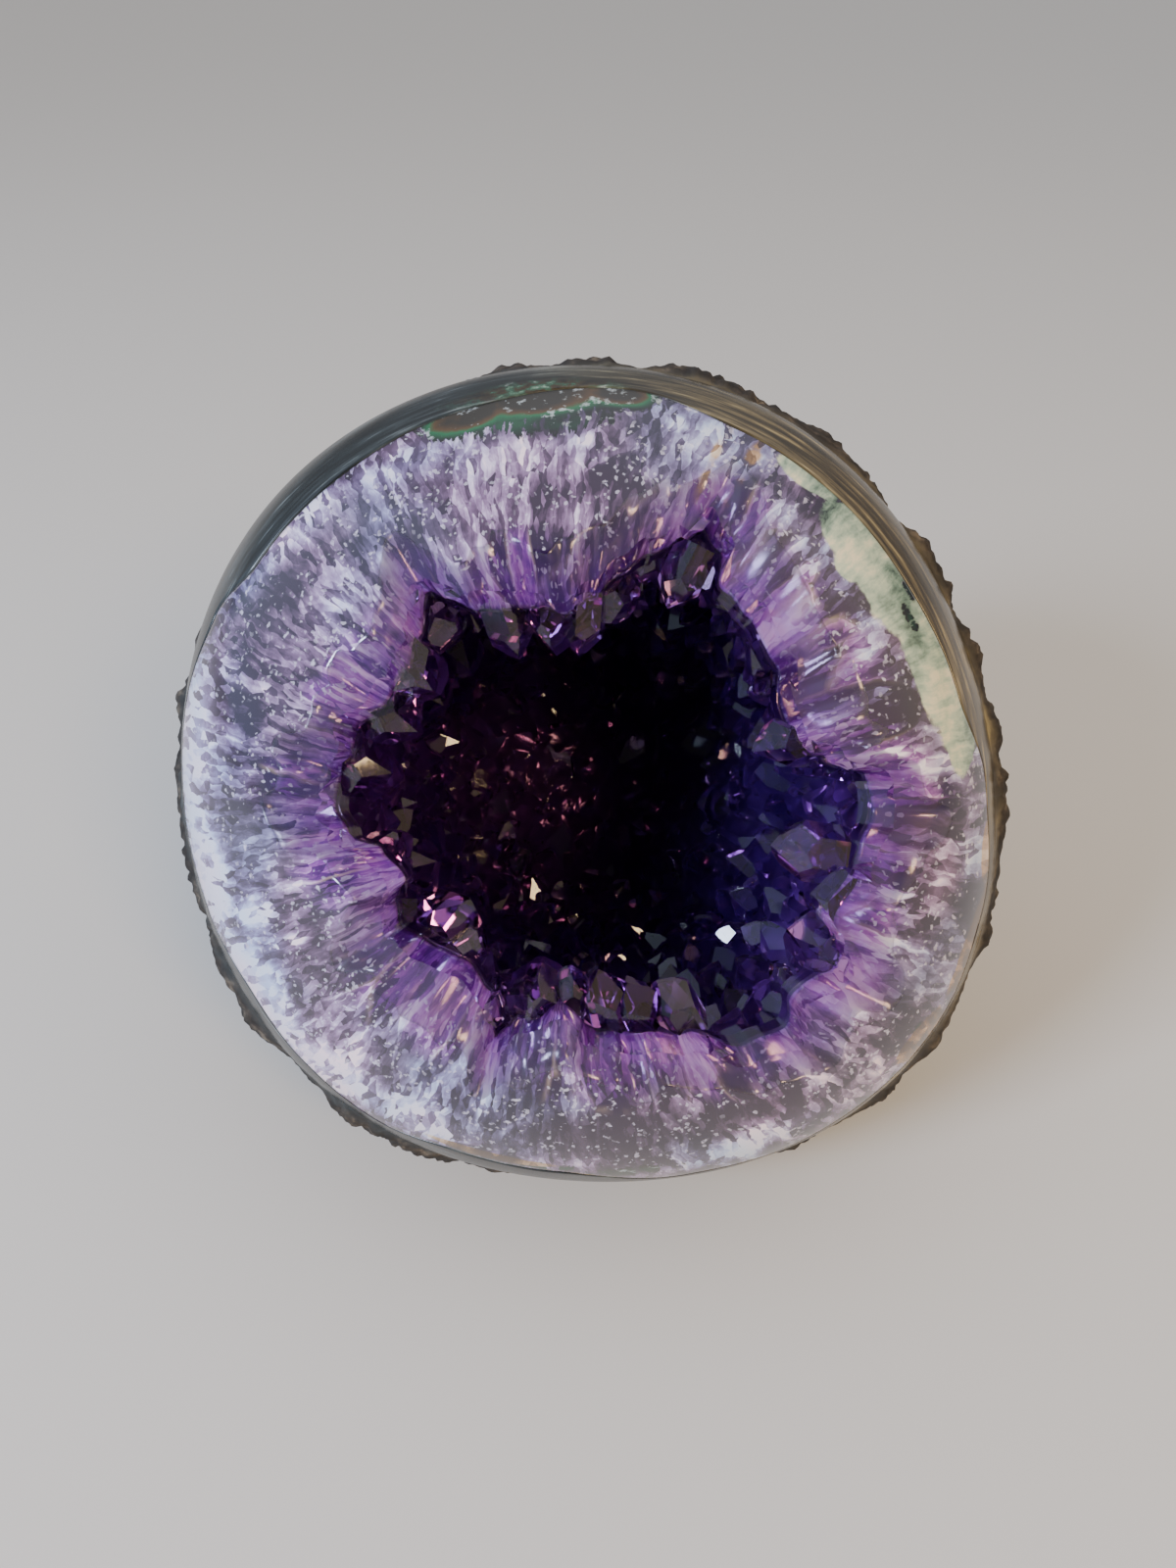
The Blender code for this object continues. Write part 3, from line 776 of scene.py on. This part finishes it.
def values_of(tree, name):
    """The three values that the mesh's points have under a name, one by one."""
    given = add(tree, "Attribute", {"attribute_name": name}, give="Vector")
    return add(tree, "SeparateXYZ", {}, {0: given}, give=None)


def new_material(name):
    """An empty material and its nodes."""
    material = bpy.data.materials.new(name)
    material.use_nodes = True
    tree = material.node_tree
    tree.nodes.clear()
    return material, tree


# What a Math node does with its inputs
TIMES = {"operation": "MULTIPLY"}
TIMES_PLUS = {"operation": "MULTIPLY_ADD"}
HELD_TIMES_PLUS = {"operation": "MULTIPLY_ADD", "use_clamp": True}

# Noises in the quartz: what each follows, its size in millimetres, detail and roughness
QUARTZ_NOISES = {
    "fibres": ("fine", 1.0, 5.0, 0.65),
    "columns": ("coarse", 3.03, 4.0, 0.5),
    "clouds": ("place", 7.69, 7.0, 0.6),
    "spots": ("place", 1.54, 5.0, 0.6),
    "flecks": ("place", 0.909, 3.0, 0.5),
    "lean": ("place", 18.2, 2.0, 0.5),
}
# Grains with a value each: what they follow, their size in millimetres, and which part of a random colour
QUARTZ_GRAINS = {
    "cells": ("coarse", 3.33, 0),
    "blocks": ("coarse", 6.67, 1),
    "crumbs": ("coarse", 0.769, 0),
    "glints": ("bent", 0.3846, 0),
}
# How much each makes the quartz milkier or clearer, in this order
MILK_PARTS = (("columns", 0.70), ("cells", 0.30), ("blocks", 0.24), ("crumbs", 0.50), ("clouds", 1.5))


def quartz_grain(tree):
    """The quartz's patterns by name. It grew inwards in columns, so they run from the rind to the mouth."""
    growth = add(tree, "Attribute", {"attribute_name": "growth"}, give="Vector")
    place = add(tree, "NewGeometry", give="Position")
    wobble = add(tree, "TexNoise", {}, {
        "Vector": place, "Scale": scale_of(4.76), "Detail": 3.0,
    }, give="Color")
    bent = add(tree, "MixRGB", {"blend_type": "LINEAR_LIGHT"}, {
        "Fac": 0.0009, "Color1": growth, "Color2": wobble,
    })
    grain = {
        "place": place,
        "bent": bent,
        "fine": add(tree, "Mapping", {}, {"Vector": bent, "Scale": (1.0, 1.0, 0.26)}),
        "coarse": add(tree, "Mapping", {}, {"Vector": bent, "Scale": (1.0, 1.0, 0.38)}),
    }
    for name, (way, size, detail, roughness) in QUARTZ_NOISES.items():
        grain[name] = add(tree, "TexNoise", {}, {
            "Vector": grain[way], "Scale": scale_of(size), "Detail": detail, "Roughness": roughness,
        }, give="Fac")
    for name, (way, size, part) in QUARTZ_GRAINS.items():
        colour = add(tree, "TexVoronoi", {}, {"Vector": grain[way], "Scale": scale_of(size)}, give="Color")
        grain[name] = add(tree, "SeparateXYZ", {}, {0: colour}, give=part)
    # Healed cracks round the blocks, some clear and most faint
    borders = add(tree, "TexVoronoi", {"feature": "DISTANCE_TO_EDGE"}, {
        "Vector": grain["coarse"], "Scale": scale_of(6.67),
    })
    borders = add(tree, "MapRange", {}, {"Value": borders, "From Max": 0.05, "To Min": 1.0, "To Max": 0.0})
    some = add(tree, "Math", HELD_TIMES_PLUS, {0: grain["columns"], 1: 3.0, 2: -1.2})
    grain["cracks"] = add(tree, "Math", TIMES, {0: some, 1: borders})
    return grain


def milkiness(tree, grain, white, smoke):
    """How milky the quartz is, from 0, clear and dark, to 1, white."""
    milk = add(tree, "Math", HELD_TIMES_PLUS, {0: grain["fibres"], 1: 0.8, 2: -0.15})
    for name, weight in MILK_PARTS:
        centred = add(tree, "Math", {"operation": "SUBTRACT"}, {0: milk, 1: weight / 2})
        milk = add(tree, "Math", HELD_TIMES_PLUS, {0: grain[name], 1: weight, 2: centred})
    for more, weight in ((white, 0.52), (smoke, -0.16), (grain["cracks"], 0.28)):
        milk = add(tree, "Math", HELD_TIMES_PLUS, {0: more, 1: weight, 2: milk})
    # The white parts are broken into crisp crumbs
    broken = add(tree, "Math", TIMES, {0: white, 1: grain["crumbs"]})
    milk = add(tree, "Math", TIMES_PLUS, {0: white, 1: -0.34, 2: milk})
    return add(tree, "Math", HELD_TIMES_PLUS, {0: broken, 1: 0.62, 2: milk})


def milky_colour(tree, grain, milk, smoke):
    """The cloudy quartz, smoke-grey where it is clear, up to white. It leans to blue here and pink there."""
    milky = add(tree, "ValToRGB", {}, {"Fac": milk}, (
        (0.04, "#30263a"), (0.22, "#54455f"), (0.38, "#7f6e90"), (0.54, "#a89fbf"), (0.72, "#d8def2"),
        (0.88, "#ffffff"),
    ))
    smoky = add(tree, "ValToRGB", {}, {"Fac": milk}, (
        (0.0, "#2f2b3a"), (0.3, "#5a5468"), (0.5, "#7f7b92"), (0.75, "#b9b7cc"), (0.95, "#f0eef6"),
    ))
    share = add(tree, "Math", TIMES, {0: smoke, 1: 0.8})
    milky = add(tree, "MixRGB", {}, {"Fac": share, "Color1": milky, "Color2": smoky})
    lean = add(tree, "ValToRGB", {}, {"Fac": grain["lean"]}, ((0.40, "#d5e2fa"), (0.60, "#ffe6f4")))
    return add(tree, "MixRGB", {"blend_type": "MULTIPLY"}, {"Fac": 1.0, "Color1": milky, "Color2": lean})


def violet_colour(tree, grain, milk):
    """The last growth: amethyst, each crystal with its own tone."""
    centred = add(tree, "Math", {"operation": "SUBTRACT"}, {0: milk, 1: 0.21})
    own = add(tree, "Math", HELD_TIMES_PLUS, {0: grain["blocks"], 1: 0.46, 2: centred})
    return add(tree, "ValToRGB", {}, {"Fac": own}, (
        (0.0, "#240638"), (0.24, "#521a70"), (0.42, "#7c3794"), (0.60, "#aa6cba"), (0.80, "#dfbde8"),
        (0.96, "#fff4ff"),
    ))


def banded_colour(tree, grain, milk, across, violet, smoke):
    """Cloudy quartz, violet in its last 8 mm, ragged, with golden cracks, white flecks and painted glints.
    """
    ragged = add(tree, "Math", TIMES_PLUS, {0: grain["cells"], 1: 0.0035, 2: across})
    ragged = add(tree, "Math", TIMES_PLUS, {0: violet, 1: -0.0060, 2: ragged})
    depth = add(tree, "MapRange", {"interpolation_type": "SMOOTHSTEP"}, {
        "Value": ragged, "From Min": 0.0012, "From Max": 0.0092, "To Min": 1.0, "To Max": 0.0,
    })
    golden = add(tree, "Math", TIMES, {0: add(tree, "Math", TIMES, {0: grain["cracks"], 1: depth}), 1: 0.55})
    fleck_and_glint = add(tree, "ValToRGB", {}, {"Fac": grain["flecks"]}, ((0.64, 0.0), (0.72, 0.7)))
    # Painted glints: tiny white sparkles of light put into the colour, along with the white flecks
    glint = add(tree, "Math", TIMES_PLUS, {0: grain["columns"], 1: 0.35, 2: grain["glints"]})
    glint = add(tree, "MapRange", {}, {"Value": glint, "From Min": 1.11, "From Max": 1.16, "To Max": 0.5})
    fleck_and_glint = add(tree, "Math", {"operation": "MAXIMUM"}, {0: fleck_and_glint, 1: glint})
    colour = milky_colour(tree, grain, milk, smoke)
    for share, over in (
        (depth, violet_colour(tree, grain, milk)),
        (golden, linear("#e6cfa8")),
        (fleck_and_glint, linear("#dcd8ee")),
    ):
        colour = add(tree, "MixRGB", {}, {"Fac": share, "Color1": colour, "Color2": over})
    return colour


def stained_share(tree, strength, ragged):
    """How much of a stain is at a place: its strength with a ragged edge, and none far from it."""
    edge = add(tree, "Math", {"operation": "ADD"}, {0: strength, 1: ragged})
    mask = add(tree, "MapRange", {"interpolation_type": "SMOOTHSTEP"}, {
        "Value": edge, "From Min": 0.25, "From Max": 0.65,
    })
    near = add(tree, "Math", TIMES, {0: strength, 1: 8.0})
    return add(tree, "Math", {"operation": "MULTIPLY", "use_clamp": True}, {0: mask, 1: near})


def stained_colour(tree, grain, milk, colour, minerals):
    """Celadonite, the dark stain and iron near the rind, over the quartz's colour."""
    green, dark, amber = minerals
    rough = add(tree, "Math", TIMES_PLUS, {0: grain["clouds"], 1: 1.8, 2: -0.9})
    speckle = add(tree, "Math", TIMES_PLUS, {0: grain["fibres"], 1: 2.4, 2: -1.2})
    veined = add(tree, "Math", TIMES_PLUS, {0: grain["clouds"], 1: 1.6, 2: -0.72})
    veined = add(tree, "Math", TIMES_PLUS, {0: grain["fibres"], 1: 0.9, 2: veined})
    greens = add(tree, "ValToRGB", {}, {"Fac": veined}, (
        (0.20, "#2f3d38"), (0.36, "#6d8676"), (0.50, "#97ad9b"), (0.64, "#b9c9b0"), (0.82, "#e6dfbd"),
    ))
    # The dark stain is black outside, green further in and brown in its middle, with pale grains
    ringed = add(tree, "Math", TIMES_PLUS, {0: grain["clouds"], 1: 0.9, 2: -0.45})
    ringed = add(tree, "Math", {"operation": "ADD"}, {0: dark, 1: ringed})
    darks = add(tree, "ValToRGB", {}, {"Fac": ringed}, (
        (0.30, "#07090a"), (0.44, "#08301f"), (0.66, "#0f6039"), (0.80, "#4a3211"), (1.0, "#1e180c"),
    ))
    pale = add(tree, "MapRange", {}, {
        "Value": grain["spots"], "From Min": 0.58, "From Max": 0.66, "To Max": 0.7,
    })
    darks = add(tree, "MixRGB", {}, {"Fac": pale, "Color1": darks, "Color2": linear("#c4cfd2")})
    browns = add(tree, "ValToRGB", {}, {"Fac": milk}, (
        (0.10, "#4a3220"), (0.40, "#8a6a4a"), (0.65, "#c09e7c"), (1.0, "#ecdcc8"),
    ))
    for strength, ragged, over in ((green, rough, greens), (dark, speckle, darks), (amber, rough, browns)):
        share = stained_share(tree, strength, ragged)
        colour = add(tree, "MixRGB", {}, {"Fac": share, "Color1": colour, "Color2": over})
    return colour


def quartz_material():
    """Milky quartz that shades to amethyst, ground and polished: cloudy depth under a wet gloss."""
    material, tree = new_material("polished milky quartz")
    from_mouth, below, _ = values_of(tree, "across")
    violet, white, smoke = values_of(tree, "clouds")
    grain = quartz_grain(tree)
    milk = milkiness(tree, grain, white, smoke)
    colour = banded_colour(tree, grain, milk, from_mouth, violet, smoke)
    colour = stained_colour(tree, grain, milk, colour, values_of(tree, "minerals"))

    # Under the clear wedge it is paler, to make up for the light that the wedge traps. At the lip it is
    # violet, and down the hollow it goes dark: painted shade, deeper in the hollow
    trapped = add(tree, "VectorMath", TIMES_PLUS, {0: colour, 1: (0.6, 0.6, 0.6), 2: (0.38, 0.38, 0.38)})
    pale = add(tree, "VectorMath", {"operation": "DIVIDE"}, {0: colour, 1: trapped})
    lilac = add(tree, "ValToRGB", {}, {"Fac": milk}, ((0.1, "#52187c"), (0.5, "#9448bc"), (0.9, "#dcb0ee")))
    # Painted shade: the hollow's wall is light violet at the lip and darker further down
    shaded_walls = add(tree, "ValToRGB", {}, {"Fac": from_mouth}, (
        (0.0, "#a884cc"), (0.45, "#6a4a9c"), (0.9, "#4a3468"),
    ))
    for start, end, most, over in ((0.0, 0.1, 1.0, pale), (0.15, 1.1, 0.8, lilac), (1.0, 2.0, 1.0, shaded_walls)):
        share = add(tree, "MapRange", {}, {
            "Value": below, "From Min": start, "From Max": end, "To Max": most,
        })
        colour = add(tree, "MixRGB", {}, {"Fac": share, "Color1": colour, "Color2": over})

    shader = add(tree, "BsdfPrincipled", {}, {
        "Base Color": colour, "Roughness": 0.14, "IOR": 1.544, "Coat Weight": 0.4, "Coat Roughness": 0.05,
    })
    add(tree, "OutputMaterial", {}, {"Surface": shader}, give=None)
    return material


def amethyst_material():
    """Amethyst points, clear quartz with natural faces: thin edges glow violet and deep ones go black."""
    material, tree = new_material("clear amethyst")
    shader = add(tree, "BsdfPrincipled", {}, {
        "Base Color": linear("#f3effa"), "Roughness": 0.05, "IOR": 1.544, "Transmission Weight": 1.0,
    })
    tint = add(tree, "VolumeAbsorption", {}, {"Color": linear("#ca3cdc"), "Density": 150.0})
    add(tree, "OutputMaterial", {}, {"Surface": shader, "Volume": tint}, give=None)
    return material


def polished_basalt(tree, place, green, gold_and_warm_light):
    """The ground band: grey at left, olive with painted warm light at right, streaked round by the grinder.
    """
    growth = add(tree, "Attribute", {"attribute_name": "growth"}, give="Vector")
    drawn = add(tree, "Mapping", {}, {"Vector": growth, "Scale": (0.12, 0.12, 1.0)})
    streaks = add(tree, "TexNoise", {}, {
        "Vector": drawn, "Scale": scale_of(1.11), "Detail": 5.0, "Roughness": 0.6,
    }, give="Fac")
    cool = add(tree, "ValToRGB", {}, {"Fac": streaks}, (
        (0.34, "#121516"), (0.50, "#202628"), (0.60, "#363d3f"), (0.70, "#6d7677"),
    ))
    # The olive on the right is partly painted warm light
    warm = add(tree, "ValToRGB", {}, {"Fac": streaks}, (
        (0.34, "#28231a"), (0.48, "#443d2d"), (0.60, "#6b6148"), (0.70, "#a3966e"),
    ))
    # A patch of brown and green crystals at the top
    moss = add(tree, "TexNoise", {}, {
        "Vector": place, "Scale": scale_of(1.92), "Detail": 5.0, "Roughness": 0.6,
    }, give="Fac")
    moss = add(tree, "ValToRGB", {}, {"Fac": moss}, (
        (0.36, "#15120d"), (0.48, "#3b2f1c"), (0.55, "#2b4f3c"), (0.62, "#5f7f68"), (0.70, "#d5dcd8"),
    ))
    colour = add(tree, "MixRGB", {}, {"Fac": gold_and_warm_light, "Color1": cool, "Color2": warm})
    return add(tree, "MixRGB", {}, {"Fac": green, "Color1": colour, "Color2": moss})


def basalt_material():
    """Weathered basalt: a dull near-black crumb outside, and a low grey sheen where it is polished."""
    material, tree = new_material("basalt")
    ground, green, gold_and_warm_light = values_of(tree, "finish")
    place = add(tree, "NewGeometry", give="Position")
    crumb = add(tree, "TexNoise", {}, {
        "Vector": place, "Scale": scale_of(2.38), "Detail": 6.0, "Roughness": 0.65,
    }, give="Fac")
    rough = add(tree, "ValToRGB", {}, {"Fac": crumb}, (
        (0.32, "#0f0c0b"), (0.47, "#231e1a"), (0.58, "#3c352e"), (0.70, "#6e6354"),
    ))
    polished = polished_basalt(tree, place, green, gold_and_warm_light)
    bump = add(tree, "Bump", {}, {"Strength": 0.5, "Distance": 0.0003, "Height": crumb})
    smooth = add(tree, "NewGeometry", give="Normal")
    shader = add(tree, "BsdfPrincipled", {}, {
        "Base Color": add(tree, "MixRGB", {}, {"Fac": ground, "Color1": rough, "Color2": polished}),
        "Roughness": add(tree, "MapRange", {}, {"Value": ground, "To Min": 0.85, "To Max": 0.26}),
        "Normal": add(tree, "MixRGB", {}, {"Fac": ground, "Color1": bump, "Color2": smooth}),
    })
    add(tree, "OutputMaterial", {}, {"Surface": shader}, give=None)
    return material


# The studio
FLOOR_REACH = 40.0
SKY = ((0.0, "#73767c"), (0.7, "#c9ccd2"))
SKY_STRENGTH = 0.8
# Where the viewer stands it is dark, and soft glows, as (direction, colour, strength), light the rest
VIEWER_SIDE = (0.0, -0.82, 0.57)
VIEWER_SHADE = 0.12
GLOWS = (
    ((-0.90, -0.26, 0.34), "#c4daf8", 4.6),
    ((0.80, -0.30, 0.50), "#ffdfae", 2.0),
    ((0.05, 0.30, 0.95), "#eef2ff", 0.6),
)
LAMP_SIZE = 0.20

# The photograph's own view: its turn to the right, its drop, its place from the centre, and its lens
CAMERA_TURN = 4.5
CAMERA_DROP = 39.7
CAMERA_OFFSET = Vector((0.00844, -0.10104, 0.08434))
CAMERA_LENS = 24.3
SENSOR_WIDTH = 36.0
CLIP_START = 0.005


def make_floor():
    """A wide, flat, pale floor."""
    mesh = bpy.data.meshes.new("floor")
    corners = [(x * FLOOR_REACH, y * FLOOR_REACH, 0) for x, y in ((-1, -1), (1, -1), (1, 1), (-1, 1))]
    mesh.from_pydata(corners, [], [(0, 1, 2, 3)])
    floor = bpy.data.objects.new("floor", mesh)
    bpy.context.scene.collection.objects.link(floor)
    material, tree = new_material("pale floor")
    shader = add(tree, "BsdfPrincipled", {}, {"Base Color": linear("#cfccc7"), "Roughness": 0.7})
    add(tree, "OutputMaterial", {}, {"Surface": shader}, give=None)
    mesh.materials.append(material)


def make_lamp(name, place, power, colour):
    """A soft square lamp that looks at the geode."""
    lamp = bpy.data.lights.new(name, "AREA")
    lamp.size = LAMP_SIZE
    lamp.energy = power
    lamp.color = linear(colour)[:3]
    made = bpy.data.objects.new(name, lamp)
    bpy.context.scene.collection.objects.link(made)
    made.location = place
    made.rotation_euler = (CENTRE - Vector(place)).to_track_quat("-Z", "Y").to_euler()


def make_camera():
    """The photograph's own view: from above and in front, close to the stone."""
    turn, drop = math.radians(CAMERA_TURN), math.radians(CAMERA_DROP)
    behind = Vector((math.sin(turn) * math.cos(drop), -math.cos(turn) * math.cos(drop), math.sin(drop)))
    right = Vector((math.cos(turn), math.sin(turn), 0))
    above = behind.cross(right)
    lens = bpy.data.cameras.new("camera")
    lens.sensor_width = SENSOR_WIDTH
    lens.lens = CAMERA_LENS
    lens.clip_start = CLIP_START
    camera = bpy.data.objects.new("camera", lens)
    bpy.context.scene.collection.objects.link(camera)
    axes = Matrix((right, above, behind)).transposed().to_4x4()
    camera.matrix_world = Matrix.Translation(CENTRE + CAMERA_OFFSET) @ axes
    bpy.context.scene.camera = camera


def facing(tree, way, centre, start, end, first, last):
    """A value that goes softly from first to last as a direction turns to the centre."""
    centre = Vector(centre).normalized()
    near = add(tree, "VectorMath", {"operation": "DOT_PRODUCT"}, {0: way, 1: centre}, give="Value")
    return add(tree, "MapRange", {"interpolation_type": "SMOOTHSTEP"}, {
        "Value": near, "From Min": start, "From Max": end, "To Min": first, "To Max": last,
    })


def make_world():
    """Soft light from every side but the viewer's, cool on the left and warm on the right."""
    world = bpy.data.worlds.new("studio")
    bpy.context.scene.world = world
    world.use_nodes = True
    tree = world.node_tree
    tree.nodes.clear()
    way = add(tree, "TexCoord", give="Generated")
    height = add(tree, "SeparateXYZ", {}, {0: way}, give="Z")
    colour = add(tree, "ValToRGB", {}, {"Fac": height}, SKY)
    shade = facing(tree, way, VIEWER_SIDE, 0.45, 0.90, 1.0, VIEWER_SHADE)
    colour = add(tree, "VectorMath", {"operation": "SCALE"}, {0: colour, "Scale": shade})
    for centre, tint, strength in GLOWS:
        glow = facing(tree, way, centre, 0.62, 1.0, 0.0, strength)
        colour = add(tree, "MixRGB", {"blend_type": "ADD", "use_clamp": False}, {
            "Fac": glow, "Color1": colour, "Color2": linear(tint),
        })
    sky = add(tree, "Background", {}, {"Color": colour, "Strength": SKY_STRENGTH})
    add(tree, "OutputWorld", {}, {"Surface": sky}, give=None)


quartz = make_quartz()
quartz.data.materials.append(quartz_material())
basalt = make_rind()
basalt.data.materials.append(basalt_material())
points = make_crust()
points.data.materials.append(amethyst_material())
for piece, node, finish in (
    (basalt, "basalt_rind", "basalt"),
    (quartz, "quartz_wall", "banded_quartz"),
    (points, "amethyst_crust", "amethyst"),
):
    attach(piece, "root")
    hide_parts(node)

make_floor()
make_world()
make_lamp("cool_lamp", (-0.52, -0.48, 0.46), 7.5, "#d4e4ff")
make_lamp("warm_lamp", (0.40, -0.54, 0.50), 3.8, "#ffd79c")
make_camera()
